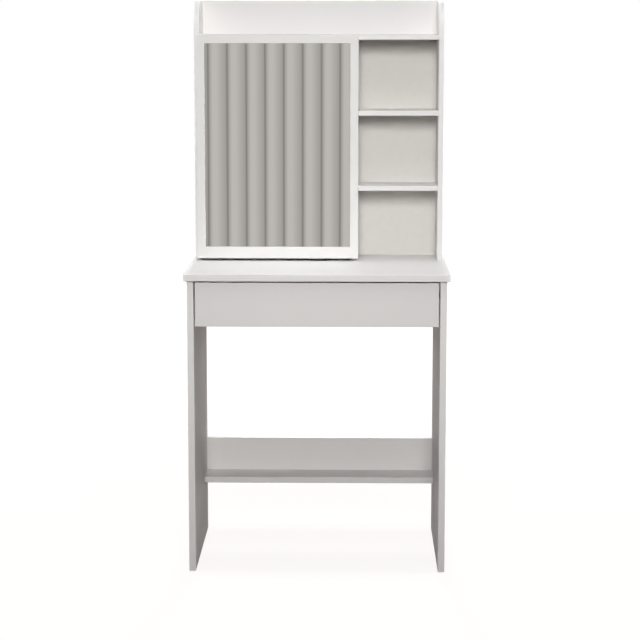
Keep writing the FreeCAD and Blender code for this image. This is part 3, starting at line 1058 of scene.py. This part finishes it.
@dataclass
class Studio:
    """The pale floor, the white surround, the glowing grey screen with painted fold shade that the mirror
    shows, and the soft lamps.
    """

    WAVE_RATE = 20.0

    floor_half: float = 30.0
    ambient: float = 0.05
    near_glow: float = 0.88
    near_reach: float = 0.6
    far_reach: float = 3.0
    floor_tone: Colour = (0.16, 0.128, 0.108)
    screen_reach: float = 2.4
    screen_span: float = 200.0
    screen_low: float = -1.0
    screen_high: float = 3.2
    screen_steps: int = 80
    fold_width: float = 0.0683
    fold_start: float = -0.4423
    fold_wander: float = 0.7
    fold_detail: float = 1.0
    fold_detail_scale: float = 0.6
    fold_lean: float = 0.05
    # Painted pleat shade: dark crease tones and lit band tones across each pleat, shown as glow instead of
    # lamp light.
    painted_fold_shades: Sequence[tuple[float, tuple[int, int, int]]] = (
        (0.0, (136, 132, 127)),
        (0.1, (178, 174, 169)),
        (0.24, (200, 196, 191)),
        (0.45, (200, 196, 191)),
        (0.93, (172, 167, 162)),
        (1.0, (136, 132, 127)),
    )
    lamps: Sequence[SoftLamp] = field(
        default_factory=lambda: (
            SoftLamp("high_soft_box", (0.15, -1.3, 3.7), (0.0, 0.0, 0.75), 1.6, 33.0),
            SoftLamp("front_soft_box", (0.1, -4.4, 2.2), (0.0, 0.0, 0.8), 1.2, 8.5, 42.0),
            SoftLamp("rear_soft_box", (0.0, 4.2, 2.6), (0.0, 0.0, 0.8), 0.8, 125.0),
            SoftLamp("left_soft_box", (-3.8, 0.1, 1.85), (0.0, 0.1, 0.7), 1.2, 76.0),
            SoftLamp("right_soft_box", (3.8, 0.1, 1.85), (0.0, 0.1, 0.7), 1.2, 76.0),
        )
    )

    def build(self) -> None:
        """Builds the surround and the lamps."""
        self.world()
        self.floor()
        self.screen()
        for lamp in self.lamps:
            lamp.build()

    @staticmethod
    def seen(nodes: Nodes) -> bpy.types.NodeSocket:
        """A value of 1 on rays from the camera and on clear reflections and refractions.

        Args:
            nodes: The helper of the material's or world's tree.

        Returns:
            The value's socket.
        """
        path = nodes.add("ShaderNodeLightPath").outputs
        mirrored = nodes.math("MAXIMUM", path["Is Glossy Ray"], path["Is Transmission Ray"])
        return nodes.math("MAXIMUM", path["Is Camera Ray"], mirrored)

    def world(self) -> None:
        """White where it is seen, and dimmer where it lights the table."""
        world = bpy.data.worlds.new("white_surround")
        world.use_nodes = True
        nodes = Nodes(world.node_tree)
        background = world.node_tree.nodes["Background"]
        background.inputs["Color"].default_value = (1.0, 1.0, 1.0, 1.0)
        strength = nodes.math("MAXIMUM", self.seen(nodes), self.ambient)
        nodes.join(strength, background.inputs["Strength"])
        bpy.context.scene.world = world

    @staticmethod
    def sheet(
        name: str,
        points: Sequence[Point],
        faces: Sequence[Sequence[int]],
        material: bpy.types.Material,
    ) -> bpy.types.Object:
        """A thin stage piece.

        Args:
            name: The object's name.
            points: Its corners.
            faces: The corners of each face, by their place in the list.
            material: Its material.

        Returns:
            The stage object.
        """
        mesh = bpy.data.meshes.new(name)
        mesh.from_pydata(points, [], faces)
        mesh.materials.append(material)
        piece = bpy.data.objects.new(name, mesh)
        bpy.context.scene.collection.objects.link(piece)
        return piece

    def floor(self) -> None:
        """A pale floor that looks white and still takes the table's shadow."""
        material = bpy.data.materials.new("pale_floor")
        material.use_nodes = True
        nodes = Nodes(material.node_tree)
        material.node_tree.nodes.clear()
        matt = nodes.add("ShaderNodeBsdfDiffuse")
        matt.inputs["Color"].default_value = (*self.floor_tone, 1.0)
        glow = nodes.add("ShaderNodeEmission")
        length = nodes.add("ShaderNodeVectorMath", operation="LENGTH")
        nodes.join(nodes.stretched((1.0, 1.0, 1.0)), length.inputs[0])
        level = nodes.add("ShaderNodeMapRange", interpolation_type="SMOOTHSTEP")
        level.inputs["From Min"].default_value = self.near_reach
        level.inputs["From Max"].default_value = self.far_reach
        level.inputs["To Min"].default_value = self.near_glow
        level.inputs["To Max"].default_value = 1.0
        nodes.join(length.outputs["Value"], level.inputs["Value"])
        strength = nodes.math("MULTIPLY", self.seen(nodes), level.outputs["Result"])
        nodes.join(strength, glow.inputs["Strength"])
        both = nodes.add("ShaderNodeAddShader")
        nodes.join(matt.outputs["BSDF"], both.inputs[0])
        nodes.join(glow.outputs["Emission"], both.inputs[1])
        nodes.join(both.outputs["Shader"], nodes.add("ShaderNodeOutputMaterial").inputs["Surface"])
        half = self.floor_half
        corners = [(-half, -half, 0), (half, -half, 0), (half, half, 0), (-half, half, 0)]
        self.sheet("pale_floor", corners, [(0, 1, 2, 3)], material)

    def screen(self) -> None:
        """A smooth grey studio screen round the front of the table, seen only in reflections; it glows,
        and the light and shade of its pleats are painted on.
        """
        shares = [step / self.screen_steps - 0.5 for step in range(self.screen_steps + 1)]
        turns = [math.radians(self.screen_span * share) for share in shares]
        points = []
        for turn in turns:
            x, y = self.screen_reach * math.sin(turn), -self.screen_reach * math.cos(turn)
            points += [(x, y, self.screen_low), (x, y, self.screen_high)]
        faces = [(2 * step, 2 * step + 2, 2 * step + 3, 2 * step + 1) for step in range(self.screen_steps)]
        piece = self.sheet("grey_screen", points, faces, self.painted_folds())
        along = piece.data.attributes.new("along", "FLOAT_VECTOR", "POINT")
        for place, item in enumerate(along.data):
            reach = self.screen_reach * turns[place // 2]
            item.vector = (reach - self.fold_start, self.fold_lean * points[place][2], 0.0)
        piece.visible_camera = False
        piece.visible_diffuse = False
        piece.visible_shadow = False
        piece.visible_transmission = False

    def painted_folds(self) -> bpy.types.Material:
        """The screen's glowing material: painted pleat shade, with dark creases and lit bands of even
        width, which read the way along the screen.

        Returns:
            The material.
        """
        material = bpy.data.materials.new("grey_screen")
        material.use_nodes = True
        nodes = Nodes(material.node_tree)
        material.node_tree.nodes.clear()
        wave = nodes.add("ShaderNodeTexWave", wave_type="BANDS", bands_direction="X", wave_profile="SAW")
        wave.inputs["Scale"].default_value = 2 * math.pi / (self.WAVE_RATE * self.fold_width)
        wave.inputs["Distortion"].default_value = self.fold_wander
        wave.inputs["Detail"].default_value = self.fold_detail
        wave.inputs["Detail Scale"].default_value = self.fold_detail_scale
        along = nodes.add("ShaderNodeAttribute", attribute_name="along")
        nodes.join(along.outputs["Vector"], wave.inputs["Vector"])
        ramp = nodes.add("ShaderNodeValToRGB")
        elements = ramp.color_ramp.elements
        while len(elements) < len(self.painted_fold_shades):
            elements.new(0.5)
        for element, (place, tone) in zip(elements, self.painted_fold_shades):
            element.position = place
            element.color = (*linear(*tone), 1.0)
        nodes.join(wave.outputs["Fac"], ramp.inputs["Fac"])
        # The screen glows with its painted pleat shade instead of taking the lamps' light.
        glow = nodes.add("ShaderNodeEmission")
        nodes.join(ramp.outputs["Color"], glow.inputs["Color"])
        nodes.join(glow.outputs["Emission"], nodes.add("ShaderNodeOutputMaterial").inputs["Surface"])
        return material


@dataclass(frozen=True)
class ViewCamera:
    """The camera at the photograph's viewing angle."""

    place: Point = (0.0773, -4.509, 1.2523)
    left_turn: float = 0.929
    down_tilt: float = 8.454
    roll: float = 0.027
    lens: float = 109.25
    shift_y: float = -0.016
    sensor_width: float = 36.0
    clip_end: float = 200.0

    def build(self) -> None:
        """Adds the camera and makes it the scene's own."""
        data = bpy.data.cameras.new("view_camera")
        data.lens = self.lens
        data.sensor_width = self.sensor_width
        data.shift_y = self.shift_y
        data.clip_end = self.clip_end
        camera = bpy.data.objects.new("view_camera", data)
        turn = Matrix.Rotation(math.radians(self.left_turn), 4, "Z")
        tilt = Matrix.Rotation(math.radians(90.0 - self.down_tilt), 4, "X")
        roll = Matrix.Rotation(math.radians(self.roll), 4, "Z")
        camera.matrix_world = Matrix.Translation(self.place) @ turn @ tilt @ roll
        bpy.context.scene.collection.objects.link(camera)
        bpy.context.scene.camera = camera


def main() -> None:
    """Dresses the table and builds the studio."""
    logging.basicConfig(level=logging.INFO, format="%(name)s: %(message)s")
    for part in (TableFrame(), Hutch(), MirrorDoor(), Drawer()):
        part.build()
        part.dress()
    Studio().build()
    ViewCamera().build()
    bpy.context.scene.view_settings.view_transform = "Standard"


if __name__ == "__main__":
    main()
